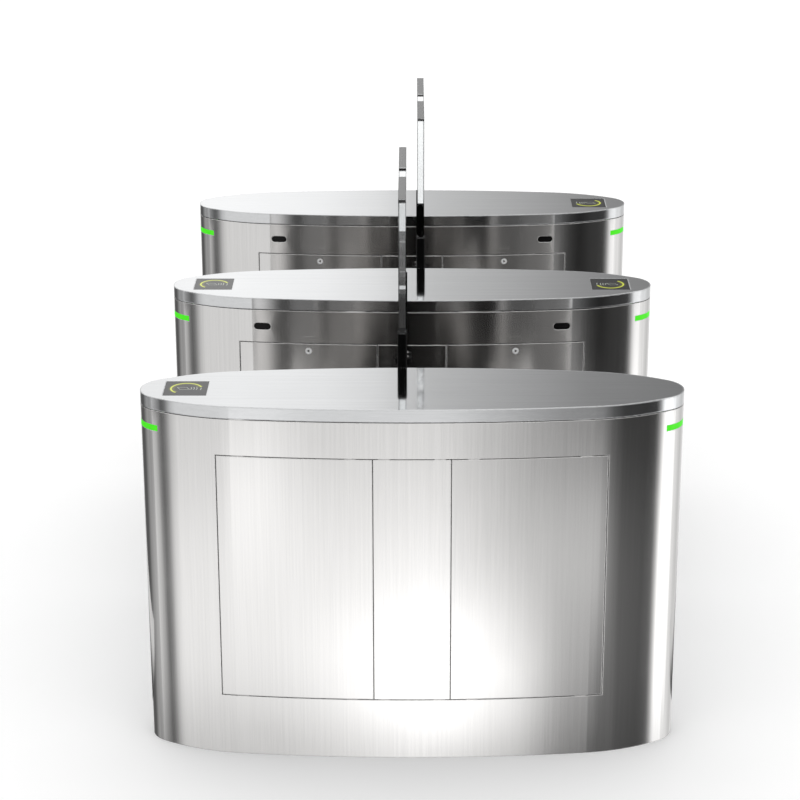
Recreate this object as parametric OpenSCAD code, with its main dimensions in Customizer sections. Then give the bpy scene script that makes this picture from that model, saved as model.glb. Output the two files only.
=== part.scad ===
// Swing turnstile bank: three oval pedestals that form two walking lanes,
// each lane closed by a pair of clear swinging wings.
// Frame: origin on the floor under the middle pedestal, X along the lanes, Y across them, Z up.

/* [Bank] */
// Distance between the centre lines of neighbouring pedestals
pitch = 915; // [880:1:1300]

/* [Pedestal] */
// Length of a pedestal along the lane
ped_len = 1400; // [1340:1:1500]
// Depth of a pedestal across the lane
ped_dep = 325; // [315:1:350]
// Height of the top of a pedestal over the floor
ped_h = 980; // [940:1:1060]
// Plan radius of the long side faces
side_r = 3950; // [3200:10:5000]
// Plan radius of the four shoulders
shoulder_r = 485; // [460:1:510]
// Plan radius of the two ends
tip_r = 76; // [70:1:84]
// Thickness of the stainless sheet
sheet = 1.5; // [1.2:0.1:2]
// Height of the skirt of the top cover
skirt_h = 34; // [30:1:42]
// Width of the seams between covers, doors and panels
seam = 2; // [1.6:0.1:2.4]

/* [Doors and panels] */
// Distance from the end of a pedestal to the outer edge of the door opening
door_inset = 199; // [195:1:205]
// Half the width of the fixed panel between two doors
centre_half = 100; // [92:1:102]
// Height of the lower edge of the door opening over the floor
door_low = 169; // [160:1:171]
// Drop from the top of the pedestal to the upper edge of the door opening
door_drop = 133; // [130:1:145]
// Depth of the folded edge round a door or panel
fold_d = 12; // [9:1:14]
// Width of a hook that holds a door or panel behind the skin
hook_w = 30; // [20:1:40]
// Length of a hook
hook_l = 14; // [10:1:20]

/* [Locks] */
// Distance of a lock from the outer edge of the door opening
lock_inset = 201; // [186:1:216]
// Drop from the upper edge of the door opening to the lock's centre
lock_drop = 23; // [20:1:30]
// Diameter of the lock barrel
lock_d = 18; // [14:0.5:22]
// Length of the lock cam from the barrel's axis
cam_l = 38; // [36:1:44]

/* [Lamps, beams and readers] */
// Height of a light bar
lamp_h = 16; // [12:1:20]
// Drop from the top of the pedestal to the middle of a light bar
lamp_drop = 83; // [78:1:90]
// Reach of a light bar along the pedestal from its end
lamp_reach = 49; // [40:1:60]
// Width of a beam sensor window
beam_w = 48; // [40:1:56]
// Height of a beam sensor window
beam_h = 20; // [16:1:24]
// Distance of a beam sensor from the end of its pedestal
beam_inset = 267; // [250:1:280]
// Drop from the top of the pedestal to the middle of a beam window
beam_drop = 85; // [80:1:95]
// Side of the square card reader
reader_w = 110; // [100:1:114]
// Distance of a card reader's middle from the end of its pedestal
reader_inset = 119; // [114:1:122]

/* [Wings] */
// Offset of a lane's wings from the middle of the pedestals, along the lane
wing_off = 26; // [20:1:34]
// Height of the top of a wing over the floor
wing_top = 1435; // [1300:1:1600]
// Height of the lower edge of a wing over the floor
wing_low = 252; // [248:1:300]
// Thickness of the clear wing panel
wing_t = 20; // [18:0.5:22]
// Gap between the free ends of the two wings of a lane
wing_gap = 82; // [60:1:120]
// Radius of the free corners of a wing
wing_corner = 10; // [6:1:40]
// Gap between a pedestal's face and the wing post
post_gap = 5.5; // [4.5:0.5:8]
// Diameter of the wing post
post_d = 25; // [24:0.5:28]
// Rise of the wing post above the top of a pedestal
post_rise = 90; // [60:1:140]
// Reach of the post's clamping jaw from the post axis
jaw_reach = 32; // [30:1:36]
// Thickness of the rebated wing edge held in the jaw
tongue_t = 15; // [13:0.5:16]

/* [Drive] */
// Distance between the post axis and the motor axis
belt_span = 110; // [106:1:116]
// Width of the lower bearing arm
arm_w = 60; // [58:1:66]
// Height of the underside of the lower bearing arm over the floor
arm_low = 176; // [174:1:179]
// Height of the lower bearing arm
arm_h = 64; // [62:1:66]
// Thickness of the lower arm's two plates
arm_plate = 14; // [14:0.5:15]
// Thickness of the lower arm's side walls
arm_wall = 4; // [3.5:0.1:5]
// Drop from the top of a pedestal to the underside of the upper bearing arm
steady_drop = 180; // [175:1:200]
// Thickness of the upper bearing arm
steady_t = 16; // [14:1:18]
// Width of the upper bearing arm
steady_w = 50; // [46:1:54]
// Outer diameter of the ball bearings
bearing_d = 40; // [38:1:42]
// Width of the ball bearings
bearing_w = 12; // [10:0.5:12]
// Diameter of the journal at the foot of the post
journal_d = 17; // [15:0.5:18]
// Diameter of the belt pulleys
pulley_d = 40; // [36:1:42]
// Width of the belt pulleys
pulley_w = 20; // [18:1:24]
// Diameter of the motor's output shaft
shaft_d = 12; // [10:0.5:14]
// Diameter of the gear motor
motor_d = 56; // [50:1:58]
// Length of the gear motor
motor_l = 175; // [150:1:220]

/* [Frame] */
// Leg length of the frame's steel angles
angle_w = 30; // [28:1:32]
// Thickness of the frame's steel angles
angle_t = 3; // [2.5:0.5:4]
// Distance from the middle of a pedestal to the inner uprights
inner_x = 120; // [118:1:126]
// Distance from the middle of a pedestal to the outer uprights
outer_x = 499; // [490:1:502]
// Distance from the centre line of a pedestal to its uprights
upright_y = 95; // [92:1:96]
// Thickness of the base plate
base_t = 8; // [6:1:12]
// Thickness of the shelf plates that carry the arms
shelf_t = 6; // [5:0.5:8]
// Height of the equipment trays over the floor
tray_z = 300; // [280:1:340]
// Distance between the anchor holes along the lane
anchor_len = 1000; // [900:1:1060]
// Distance between the anchor holes across the lane
anchor_dep = 110; // [90:1:116]
// Diameter of the anchor holes
anchor_d = 14; // [12:1:18]
// Diameter of the cable holes in the base plate
cable_d = 70; // [50:1:90]

/* [Hidden] */
$fn = 96;
smooth = 1440;

// Clearances, overlaps and overruns
fit = 0.3;
run = 0.05;
press = 0.02;
lap = 0.5;
cut = 1;

// The plan outline has eight arcs: two long sides, four shoulders and two ends
side_link = side_r - shoulder_r;
shoulder_link = shoulder_r - tip_r;
tip_x = ped_len / 2 - tip_r;
side_c = ped_dep / 2 - side_r;
reach = norm([tip_x, side_c]);
turn = atan2(tip_x, -side_c);
side_a = turn - acos((side_link * side_link + reach * reach - shoulder_link * shoulder_link)
    / (2 * side_link * reach));
shoulder_a = turn + acos((shoulder_link * shoulder_link + reach * reach - side_link * side_link)
    / (2 * shoulder_link * reach));
shoulder_x = side_link * sin(side_a);
shoulder_y = side_c + side_link * cos(side_a);

// Where the long side arc ends along the pedestal, on an outline set in by some depth
function side_end(inset = 0) = (side_r - inset) * sin(side_a);

// Half depth of the pedestal at a place along it
function face_y(x) = abs(x) < side_end()
    ? side_c + sqrt(side_r * side_r - x * x)
    : shoulder_y + sqrt(shoulder_r * shoulder_r - pow(abs(x) - shoulder_x, 2));

// The four lane faces: the pedestal each is on, the way it looks, and its wing's place
side_y = [-pitch, 0, 0, pitch];
side_look = [1, -1, 1, -1];
side_x = [-wing_off, -wing_off, wing_off, wing_off];
ped_y = [-pitch, 0, pitch];
// The ends of each pedestal that carry a card reader
reader_ends = [[-1], [-1, 1], [1]];

// Places along a pedestal, from its middle
door_reach = ped_len / 2 - door_inset;
lock_x = door_reach - lock_inset;
beam_x = ped_len / 2 - beam_inset;
reader_x = ped_len / 2 - reader_inset;

// Heights
skirt_z = ped_h - skirt_h;
shell_top = skirt_z - seam;
door_top = ped_h - door_drop;
panel_low = door_low + seam;
panel_top = door_top - seam;
lock_z = door_top - lock_drop;
lamp_z = ped_h - lamp_drop;
beam_z = ped_h - beam_drop;
frame_top = ped_h - sheet - fit;
arm_top = arm_low + arm_h;
steady_low = ped_h - steady_drop;
steady_top = steady_low + steady_t;
post_top = ped_h + post_rise;

// Wing and drive, seen from the middle of a pedestal towards its lane
post_y = ped_dep / 2 + post_gap + post_d / 2;
motor_y = post_y - belt_span;
wing_len = (pitch - ped_dep - wing_gap) / 2 - post_gap;
wing_end = wing_len - post_d / 2;
notch_room = 18;
notch_low = steady_low - notch_room;
notch_top = steady_top + notch_room;
slot_share = 0.7;
slot_y = jaw_reach * (1 - slot_share);
pulley_z = arm_low + (arm_h - pulley_w) / 2;
rim_t = 1.5;
rim_h = 2;
belt_t = 2.5;
belt_w = pulley_w - 2 * rim_t - 2 * cut;

// Doors and locks
hook_t = 2;
hook_side_share = 0.14;
cam_w = 12;
cam_t = 3;
cam_gap = 1.5;
strike_w = 30;
strike_h = 20;
strike_room = 4;
strike_d = fold_d + strike_room;
cam_y = strike_d + cam_gap;
key_r = 5;
key_d = 6;
lock_proud = 0.8;

// Bearings and arms
bush_t = 3.5;
bush_proud = 2;
bearing_lip = 4;
arm_back = 40;
steady_back = 120;
slot_room = 0.8;
screw_d = 8;
screw_in = 10;
screw_head_d = 13;
screw_head_h = 5;
// Places of the screws that hold a lower arm and an upper arm on their shelves
low_screw_shares = [-0.75, 0.68];
high_screw_share = 0.8;
low_screws = [for (x = [-arm_w / 4, arm_w / 4], share = low_screw_shares)
    [x, motor_y + arm_back * share]];
high_screws = [for (x = [-steady_w / 4, steady_w / 4])
    [x, post_y - steady_back * high_screw_share]];

// Gear motor: shares of its length and diameter
gearbox_share = 0.36;
can_share = 0.52;
can_d_share = 0.92;
cap_d_share = 0.8;
spigot_d = shaft_d * 2;
spigot_h = arm_plate / 2;
shaft_in = 25;

// Lamps, beams and readers
lamp_d = 6;
lamp_lip = 4;
lens_set = 0.4;
beam_body_d = 24;
beam_lip = 5;
reader_h = 20;
reader_lip = 4;

// Equipment trays and boxes
tray_t = 3;
tray_x = inner_x - angle_w / 2;
tray_mid = (inner_x + outer_x) / 2;
box_lid = 4;
controller = [220, 120, 46];
controller_plug = [24, 10, 12];
controller_plugs = 5;
supply = [190, 98, 42];
supply_vents = 9;
vent_w = 4;
vent_h_share = 0.5;

// The plan outline of a pedestal, set in by some depth
module oval(inset = 0) {
    arc_x = side_end(inset);
    end_x = shoulder_x + (shoulder_r - inset) * sin(shoulder_a);
    intersection() {
        translate([0, side_c]) circle(r = side_r - inset, $fn = smooth);
        translate([0, -side_c]) circle(r = side_r - inset, $fn = smooth);
        square([2 * (arc_x + lap), ped_dep], center = true);
    }
    for (s = [-1, 1]) {
        intersection() {
            translate([s * shoulder_x, shoulder_y]) circle(r = shoulder_r - inset, $fn = smooth / 3);
            translate([s * shoulder_x, -shoulder_y]) circle(r = shoulder_r - inset, $fn = smooth / 3);
            translate([s * (arc_x + end_x) / 2, 0])
                square([end_x - arc_x + 2 * lap, ped_dep], center = true);
        }
        translate([s * tip_x, 0]) circle(r = tip_r - inset);
    }
}

// A wall that follows the plan outline from one height to another
module band(inset, thick, low, high) {
    translate([0, 0, low]) linear_extrude(high - low) difference() {
        oval(inset);
        oval(inset + thick);
    }
}

// A box from one corner to the opposite one
module block(a, b) {
    translate(a) cube(b - a);
}

// Turns a piece drawn to face +Y towards one of the lane faces of its pedestal
module look(i) {
    mirror([0, side_look[i] < 0 ? 1 : 0, 0]) children();
}

// Moves a piece drawn at the middle of a pedestal, facing +Y, to one of the lane faces
module on_side(i) {
    translate([0, side_y[i], 0]) look(i) children();
}

// Draws a piece at one height on a wing's post axis
module on_post(i, z = 0) {
    on_side(i) translate([side_x[i], post_y, z]) children();
}

// A plate with a round end about the origin and a square back end
module arm_plan(width, back, inset = 0) {
    circle(d = width - 2 * inset);
    translate([inset - width / 2, -back]) square([width - 2 * inset, back]);
}

// A ring standing at one height
module ring(outer, inner, low, high) {
    translate([0, 0, low]) difference() {
        cylinder(d = outer, h = high - low);
        translate([0, 0, -cut]) cylinder(d = inner, h = high - low + 2 * cut);
    }
}

// Anchor holes through a plate that starts at one height
module anchor_holes(low, thick) {
    for (x = [-1, 1], y = [-1, 1])
        translate([x * anchor_len / 2, y * anchor_dep / 2, low - cut])
            cylinder(d = anchor_d, h = thick + 2 * cut);
}

// Base plate with anchor holes and cable holes
module base(p) {
    color("dimgray") translate([0, ped_y[p], 0]) difference() {
        linear_extrude(base_t) oval(sheet + fit);
        anchor_holes(0, base_t);
        for (x = [-1, 1])
            translate([x * tray_mid, 0, -cut]) cylinder(d = cable_d, h = base_t + 2 * cut);
    }
}

// A steel angle standing on the base plate with its corner outwards
module upright(x) {
    translate([x, upright_y, 0]) difference() {
        block([-angle_w / 2, -angle_w / 2, base_t], [angle_w / 2, angle_w / 2, frame_top]);
        block([-angle_w, -angle_w, base_t - cut],
            [angle_w / 2 - angle_t, angle_w / 2 - angle_t, frame_top + cut]);
    }
}

// A steel angle lying along the pedestal, with its flat leg at one height
module rail(low, flat) {
    half = outer_x + angle_w / 2;
    inner = upright_y - angle_w / 2;
    outer = upright_y + angle_w / 2;
    block([-half, outer - angle_t, low], [half, outer, low + angle_w]);
    block([-half, inner, flat], [half, outer, flat + angle_t]);
}

// A flat cross piece between the outer uprights, at one end and one height
module cross_piece(x, low) {
    edge_y = upright_y + angle_w / 2 - angle_t / 2;
    block([x * outer_x - angle_w / 2, -edge_y, low],
        [x * outer_x + angle_w / 2, edge_y, low + angle_t]);
}

// Welded angle frame with two shelves for the arms and two equipment trays;
// the anchors go through its lower cross pieces and the base plate
module frame(p) {
    edge_x = angle_w / 2 - angle_t / 2;
    edge_y = upright_y + edge_x;
    color("gray") translate([0, ped_y[p], 0]) {
        for (x = [0, 1], y = [0, 1]) mirror([x, 0, 0]) mirror([0, y, 0]) {
            upright(inner_x);
            upright(outer_x);
        }
        for (y = [0, 1]) mirror([0, y, 0]) {
            rail(base_t, base_t);
            rail(frame_top - angle_w, frame_top - angle_t);
        }
        difference() {
            for (x = [-1, 1]) cross_piece(x, base_t);
            anchor_holes(base_t, angle_t);
        }
        for (x = [-1, 1]) cross_piece(x, frame_top - angle_t);
        shelf(p, arm_low, low_screws);
        shelf(p, steady_low, high_screws);
        for (x = [0, 1]) mirror([x, 0, 0])
            block([tray_x, -edge_y, tray_z - tray_t], [outer_x + edge_x, edge_y, tray_z]);
    }
}

// A shelf plate between the inner uprights, drilled for the arms that stand on it
module shelf(p, top, screws) {
    edge_x = inner_x + angle_w / 2 - angle_t / 2;
    edge_y = upright_y + angle_w / 2 - angle_t / 2;
    difference() {
        block([-edge_x, -edge_y, top - shelf_t], [edge_x, edge_y, top]);
        for (i = [0 : len(side_y) - 1]) if (side_y[i] == ped_y[p])
            look(i) for (q = screws) translate([side_x[i] + q[0], q[1], top - shelf_t - cut])
                cylinder(d = screw_d + 2 * fit, h = shelf_t + 2 * cut);
    }
}

// Side skin with openings for doors, lamps and beam windows, and strikes for the locks
module shell(p) {
    color("silver") translate([0, ped_y[p], 0]) {
        difference() {
            band(0, sheet, 0, shell_top);
            block([-door_reach, -ped_dep, door_low], [door_reach, ped_dep, door_top]);
            for (x = [0, 1]) mirror([x, 0, 0])
                block([ped_len / 2 - lamp_reach, -ped_dep, lamp_z - lamp_h / 2],
                    [ped_len, ped_dep, lamp_z + lamp_h / 2]);
            for (i = [0 : len(side_y) - 1]) if (side_y[i] == ped_y[p])
                look(i) for (s = [-1, 1]) window(s, beam_w, beam_h);
        }
        for (i = [0 : len(side_y) - 1]) if (side_y[i] == ped_y[p])
            look(i) for (s = [-1, 1]) strike(s);
    }
}

// A bar with round ends that passes through the skin at a beam sensor
module window(s, width, height) {
    translate([s * beam_x, ped_dep, beam_z]) rotate([90, 0, 0]) linear_extrude(ped_dep) {
        square([width - height, height], center = true);
        for (x = [-1, 1]) translate([x * (width - height) / 2, 0]) circle(d = height);
    }
}

// A block behind the skin that a lock cam turns up behind
module strike(s) {
    low = door_top + seam / 2;
    intersection() {
        band(sheet / 2, strike_d - sheet / 2, low, low + strike_h);
        block([s * lock_x - strike_w / 2, 0, low],
            [s * lock_x + strike_w / 2, ped_dep, low + strike_h]);
    }
}

// Top cover with a skirt and holes for the card readers
module cover(p) {
    color("gainsboro") translate([0, ped_y[p], 0]) difference() {
        translate([0, 0, skirt_z]) linear_extrude(skirt_h) oval();
        translate([0, 0, skirt_z - cut]) linear_extrude(skirt_h - sheet + cut) oval(sheet);
        for (x = reader_ends[p]) translate([x * reader_x, 0, skirt_z])
            linear_extrude(skirt_h + cut) square(reader_w + 2 * fit, center = true);
    }
}

// A sheet pan with folded edges that closes part of a door opening
module panel(from, to) {
    difference() {
        intersection() {
            band(0, fold_d, panel_low, panel_top);
            block([from, 0, panel_low], [to, ped_dep, panel_top]);
        }
        intersection() {
            translate([0, 0, panel_low + sheet])
                linear_extrude(panel_top - panel_low - 2 * sheet) oval(sheet);
            block([from + sheet, 0, panel_low], [to - sheet, ped_dep, panel_top]);
        }
    }
}

// Two hooks on one edge of a panel, lying just behind the skin
module hooks(from, to, low, high) {
    for (share = [hook_side_share, 1 - hook_side_share]) {
        x = from + (to - from) * share;
        intersection() {
            band(sheet + fit, hook_t, low, high);
            block([x - hook_w / 2, 0, low], [x + hook_w / 2, ped_dep, high]);
        }
    }
}

// A panel with hooks at its lower and upper edges
module fixed_panel(from, to) {
    panel(from, to);
    hooks(from, to, panel_low - hook_l, panel_low + sheet);
    hooks(from, to, panel_top - sheet, panel_top + hook_l);
}

// Tilting access door with its lock hole; s tells left from right
module door(i, s) {
    from = centre_half + seam / 2;
    to = door_reach - seam;
    color("lightgray") on_side(i) mirror([s < 0 ? 1 : 0, 0, 0]) difference() {
        union() {
            panel(from, to);
            hooks(from, to, panel_low - hook_l, panel_low + sheet);
        }
        translate([lock_x, ped_dep, lock_z]) rotate([90, 0, 0])
            cylinder(d = lock_d + 4 * run, h = ped_dep);
    }
}

// Lock barrel with a three-sided key hole and a cam, drawn unlocked
module lock(i, s) {
    color("gainsboro") on_side(i) mirror([s < 0 ? 1 : 0, 0, 0])
        translate([lock_x, face_y(lock_x), lock_z]) rotate([90, 0, 0]) {
            difference() {
                translate([0, 0, -lock_proud]) cylinder(d = lock_d, h = lock_proud + cam_y + cam_t);
                translate([0, 0, -lock_proud - cut]) cylinder(r = key_r, h = key_d + cut, $fn = 3);
            }
            translate([0, -cam_w / 2, cam_y]) cube([cam_l, cam_w, cam_t]);
        }
}

// A clamping jaw on the post, slotted for the wing's edge
module jaw(low, high) {
    difference() {
        union() {
            translate([0, 0, low]) cylinder(d = post_d, h = high - low);
            block([-post_d / 2, 0, low], [post_d / 2, jaw_reach, high]);
        }
        block([-tongue_t / 2 - run, slot_y, low - cut],
            [tongue_t / 2 + run, jaw_reach + cut, high + cut]);
    }
}

// Wing post: journal at its foot, round through the upper bush, and two jaws
module post(i) {
    foot = arm_low + arm_plate - bearing_w + fit;
    color("#1c1c1e") on_post(i) {
        translate([0, 0, foot]) cylinder(d = journal_d, h = arm_top + fit + lap - foot);
        translate([0, 0, arm_top + fit]) cylinder(d = post_d, h = wing_low - arm_top);
        jaw(wing_low + fit, notch_low);
        translate([0, 0, notch_low]) cylinder(d = post_d, h = notch_top - notch_low);
        jaw(notch_top, post_top);
    }
}

// Removes the corner of an outline beyond a quarter circle
module round_off(corner, way, r) {
    translate(corner - way * r) difference() {
        translate([way[0] > 0 ? 0 : -r - cut, way[1] > 0 ? 0 : -r - cut]) square(r + cut);
        circle(r = r);
    }
}

// Clear wing: full thickness outside the jaws and over the post, rebated where it is clamped
module wing(i) {
    back = -post_d / 2;
    front = jaw_reach + fit;
    color("lightcyan", 0.4) on_post(i) rotate([90, 0, 90]) {
        translate([0, 0, -wing_t / 2]) linear_extrude(wing_t) difference() {
            translate([back, wing_low]) square([wing_end - back, wing_top - wing_low]);
            translate([back - cut, wing_low - cut])
                square([front - back + cut, post_top + fit - wing_low + cut]);
            round_off([wing_end, wing_top], [1, 1], wing_corner);
            round_off([wing_end, wing_low], [1, -1], wing_corner);
            round_off([back, wing_top], [-1, 1], wing_corner);
        }
        translate([0, 0, -tongue_t / 2]) linear_extrude(tongue_t) {
            translate([slot_y + fit, wing_low + fit])
                square([front - slot_y, notch_low - wing_low - fit]);
            translate([slot_y + fit, notch_top])
                square([front - slot_y, post_top + fit + lap - notch_top]);
        }
    }
}

// A flanged belt pulley standing on the origin
module pulley() {
    cylinder(d = pulley_d, h = pulley_w);
    for (z = [0, pulley_w - rim_t])
        translate([0, 0, z]) cylinder(d = pulley_d + 2 * rim_h, h = rim_t);
}

// Pulley pressed on the foot of a post
module post_pulley(i) {
    color("darkgray") on_post(i, pulley_z) difference() {
        pulley();
        translate([0, 0, -cut]) cylinder(d = journal_d + 2 * press, h = pulley_w + 2 * cut);
    }
}

// Pulley on the motor's output shaft
module drive_pulley(i) {
    color("darkgray") on_post(i) translate([0, -belt_span, pulley_z]) {
        pulley();
        cylinder(d = shaft_d, h = arm_top + shaft_in - pulley_z);
    }
}

// Gear motor that stands on the lower arm: gearbox, motor can and encoder cap
module gear_motor(i) {
    can_l = motor_l * can_share;
    gearbox_l = motor_l * gearbox_share;
    color("slategray") on_post(i) translate([0, -belt_span, arm_top]) difference() {
        union() {
            translate([0, 0, -spigot_h]) cylinder(d = spigot_d - 2 * fit, h = spigot_h + lap);
            cylinder(d = motor_d, h = gearbox_l);
            translate([0, 0, gearbox_l]) cylinder(d = motor_d * can_d_share, h = can_l);
            translate([0, 0, gearbox_l + can_l])
                cylinder(d = motor_d * cap_d_share, h = motor_l - gearbox_l - can_l);
        }
        translate([0, 0, -spigot_h - cut])
            cylinder(d = shaft_d + 2 * run, h = spigot_h + shaft_in + 2 * cut);
    }
}

// Lower arm: a box with a belt chamber, two bearing seats and a motor seat
module lower_arm(i) {
    low_seat = arm_low + arm_plate - bearing_w;
    back = belt_span + arm_back;
    on_post(i) difference() {
        translate([0, 0, arm_low]) linear_extrude(arm_h) arm_plan(arm_w, back);
        translate([0, 0, arm_low + arm_plate])
            linear_extrude(arm_h - 2 * arm_plate) arm_plan(arm_w, back + cut, arm_wall);
        translate([0, 0, low_seat]) cylinder(d = bearing_d + 2 * press, h = bearing_w + cut);
        translate([0, 0, arm_top - bearing_w]) cylinder(d = bearing_d + 2 * press, h = bearing_w + cut);
        translate([0, 0, arm_top - arm_plate - cut])
            cylinder(d = bearing_d - 2 * bearing_lip, h = arm_plate + cut);
        translate([0, -belt_span, arm_top - arm_plate - cut])
            cylinder(d = spigot_d, h = arm_plate + 2 * cut);
        for (q = low_screws) translate([q[0], q[1] - post_y, arm_low - cut])
            cylinder(d = screw_d + 2 * press, h = screw_in + 2 * cut);
    }
}

// Upper arm: a plate that steadies the post in a plain bush
module upper_arm(i) {
    on_post(i) difference() {
        translate([0, 0, steady_low]) linear_extrude(steady_t) arm_plan(steady_w, steady_back);
        translate([0, 0, steady_low - cut])
            cylinder(d = post_d + 2 * bush_t + 2 * press, h = steady_t + 2 * cut);
        for (q = high_screws) translate([q[0], q[1] - post_y, steady_low - cut])
            cylinder(d = screw_d + 2 * press, h = screw_in + 2 * cut);
    }
}

// The outline of a belt run round both pulleys at some distance from their axes
module belt_plan(r) {
    circle(r = r);
    translate([0, -belt_span]) circle(r = r);
    translate([-r, -belt_span]) square([2 * r, belt_span]);
}

// Drive belt in a lower arm
module belt(i) {
    r = pulley_d / 2 + fit;
    on_post(i) translate([0, 0, pulley_z + rim_t + cut]) linear_extrude(belt_w) difference() {
        belt_plan(r + belt_t);
        belt_plan(r);
    }
}

// Ball bearings at the foot of a post and the bush round its upper part
module post_bearings(i) {
    low_seat = arm_low + arm_plate - bearing_w;
    on_post(i) {
        ring(bearing_d, journal_d + 2 * run, low_seat, low_seat + bearing_w);
        ring(bearing_d, journal_d + 2 * run, arm_top - bearing_w, arm_top);
        ring(post_d + 2 * bush_t, post_d + 2 * run, steady_low - bush_proud, steady_top + bush_proud);
    }
}

// A fixed panel between two doors, with slots for the wing's two arms
module lane_panel(i) {
    half = centre_half - seam / 2;
    on_side(i) difference() {
        fixed_panel(-half, half);
        translate([side_x[i], 0, 0]) {
            block([-arm_w / 2 - slot_room, 0, arm_low - slot_room],
                [arm_w / 2 + slot_room, ped_dep, arm_top + slot_room]);
            block([-steady_w / 2 - slot_room, 0, steady_low - slot_room],
                [steady_w / 2 + slot_room, ped_dep, steady_top + slot_room]);
        }
    }
}

// The three fixed panels on the outer face of an end pedestal
module outer_face(p) {
    half = centre_half - seam / 2;
    translate([0, ped_y[p], 0]) mirror([0, ped_y[p] < 0 ? 1 : 0, 0]) {
        fixed_panel(-half, half);
        for (x = [0, 1]) mirror([x, 0, 0]) fixed_panel(half + seam, door_reach - seam);
    }
}

// Light bar that wraps one end of a pedestal
module light_bar(p, s) {
    low = lamp_z - lamp_h / 2;
    high = lamp_z + lamp_h / 2;
    translate([0, ped_y[p], 0]) mirror([s < 0 ? 1 : 0, 0, 0]) intersection() {
        union() {
            band(0, lamp_d, low + fit, high - fit);
            band(sheet + fit, lamp_d - sheet - fit, low - lamp_lip, high + lamp_lip);
        }
        block([ped_len / 2 - lamp_reach + fit, -ped_dep, low - lamp_lip],
            [ped_len, ped_dep, high + lamp_lip]);
    }
}

// Card reader set flush in a top cover, with a rim under the sheet
module reader(p, s) {
    rim = ped_h - sheet - fit;
    wide = reader_w / 2 + reader_lip;
    translate([s * reader_x, ped_y[p], 0]) {
        block([-reader_w / 2, -reader_w / 2, ped_h - reader_h], [reader_w / 2, reader_w / 2, ped_h]);
        block([-wide, -wide, rim - reader_lip], [wide, wide, rim]);
    }
}

// Beam sensor: a lens in the skin's window and its housing behind the skin
module beam_sensor(i, s) {
    low = beam_z - beam_h / 2;
    high = beam_z + beam_h / 2;
    on_side(i) {
        intersection() {
            band(lens_set, beam_body_d, low, high);
            window(s, beam_w - 2 * fit, beam_h - 2 * fit);
        }
        intersection() {
            band(sheet + fit, beam_body_d, low - beam_lip, high + beam_lip);
            block([s * beam_x - beam_w / 2 - beam_lip, 0, low - beam_lip],
                [s * beam_x + beam_w / 2 + beam_lip, ped_dep, high + beam_lip]);
        }
    }
}

// Lane controller box on the right tray, with a row of plugs
module lane_controller(p) {
    step = controller[0] / controller_plugs;
    translate([tray_mid, ped_y[p], tray_z]) {
        translate([-controller[0] / 2, -controller[1] / 2, 0]) cube(controller - [0, 0, box_lid]);
        translate([box_lid - controller[0] / 2, box_lid - controller[1] / 2, 0])
            cube(controller - 2 * [box_lid, box_lid, 0]);
        for (n = [0 : controller_plugs - 1])
            translate([(n + 1 / 2) * step - controller[0] / 2 - controller_plug[0] / 2,
                controller[1] / 2 - lap, box_lid]) cube(controller_plug);
    }
}

// Power supply box on the left tray, with vent slots in its top
module power_supply(p) {
    step = supply[0] / (supply_vents + 1);
    translate([-tray_mid, ped_y[p], tray_z]) difference() {
        translate([-supply[0] / 2, -supply[1] / 2, 0]) cube(supply);
        for (n = [1 : supply_vents]) translate([n * step - supply[0] / 2, 0, supply[2]])
            cube([vent_w, supply[1] * vent_h_share, 2 * box_lid], center = true);
    }
}

// Screws that hold the arms of one lane face on their shelves, driven from below
module side_screws(i) {
    on_side(i) for (row = [[arm_low, low_screws], [steady_low, high_screws]], q = row[1])
        translate([side_x[i] + q[0], q[1], row[0] - shelf_t]) {
            cylinder(d = screw_d, h = shelf_t + screw_in);
            translate([0, 0, -screw_head_h]) cylinder(d = screw_head_d, h = screw_head_h);
        }
}

sides = [0 : len(side_y) - 1];
peds = [0 : len(ped_y) - 1];

base(0);  // base_front
base(1);  // base_middle
base(2);  // base_rear
frame(0);  // frame_front
frame(1);  // frame_middle
frame(2);  // frame_rear
shell(0);  // shell_front
shell(1);  // shell_middle
shell(2);  // shell_rear
cover(0);  // cover_front
cover(1);  // cover_middle
cover(2);  // cover_rear
door(0, -1);  // door_front_left
door(0, 1);  // door_front_right
door(1, -1);  // door_middle_a_left
door(1, 1);  // door_middle_a_right
door(2, -1);  // door_middle_b_left
door(2, 1);  // door_middle_b_right
door(3, -1);  // door_rear_left
door(3, 1);  // door_rear_right
lock(0, -1);  // lock_front_left
lock(0, 1);  // lock_front_right
lock(1, -1);  // lock_middle_a_left
lock(1, 1);  // lock_middle_a_right
lock(2, -1);  // lock_middle_b_left
lock(2, 1);  // lock_middle_b_right
lock(3, -1);  // lock_rear_left
lock(3, 1);  // lock_rear_right
post(0);  // post_front
post(1);  // post_middle_a
post(2);  // post_middle_b
post(3);  // post_rear
wing(0);  // wing_front
wing(1);  // wing_middle_a
wing(2);  // wing_middle_b
wing(3);  // wing_rear
post_pulley(0);  // post_pulley_front
post_pulley(1);  // post_pulley_middle_a
post_pulley(2);  // post_pulley_middle_b
post_pulley(3);  // post_pulley_rear
drive_pulley(0);  // drive_pulley_front
drive_pulley(1);  // drive_pulley_middle_a
drive_pulley(2);  // drive_pulley_middle_b
drive_pulley(3);  // drive_pulley_rear
gear_motor(0);  // gear_motor_front
gear_motor(1);  // gear_motor_middle_a
gear_motor(2);  // gear_motor_middle_b
gear_motor(3);  // gear_motor_rear
color("darkslategray") for (i = sides) lower_arm(i);  // lower_arms
color("darkslategray") for (i = sides) upper_arm(i);  // upper_arms
color("#101010") for (i = sides) belt(i);  // belts
color("silver") for (i = sides) post_bearings(i);  // bearings
color("lightgray") for (i = sides) lane_panel(i);  // lane_panels
color("lightgray") for (p = [0, 2]) outer_face(p);  // outer_panels
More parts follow.
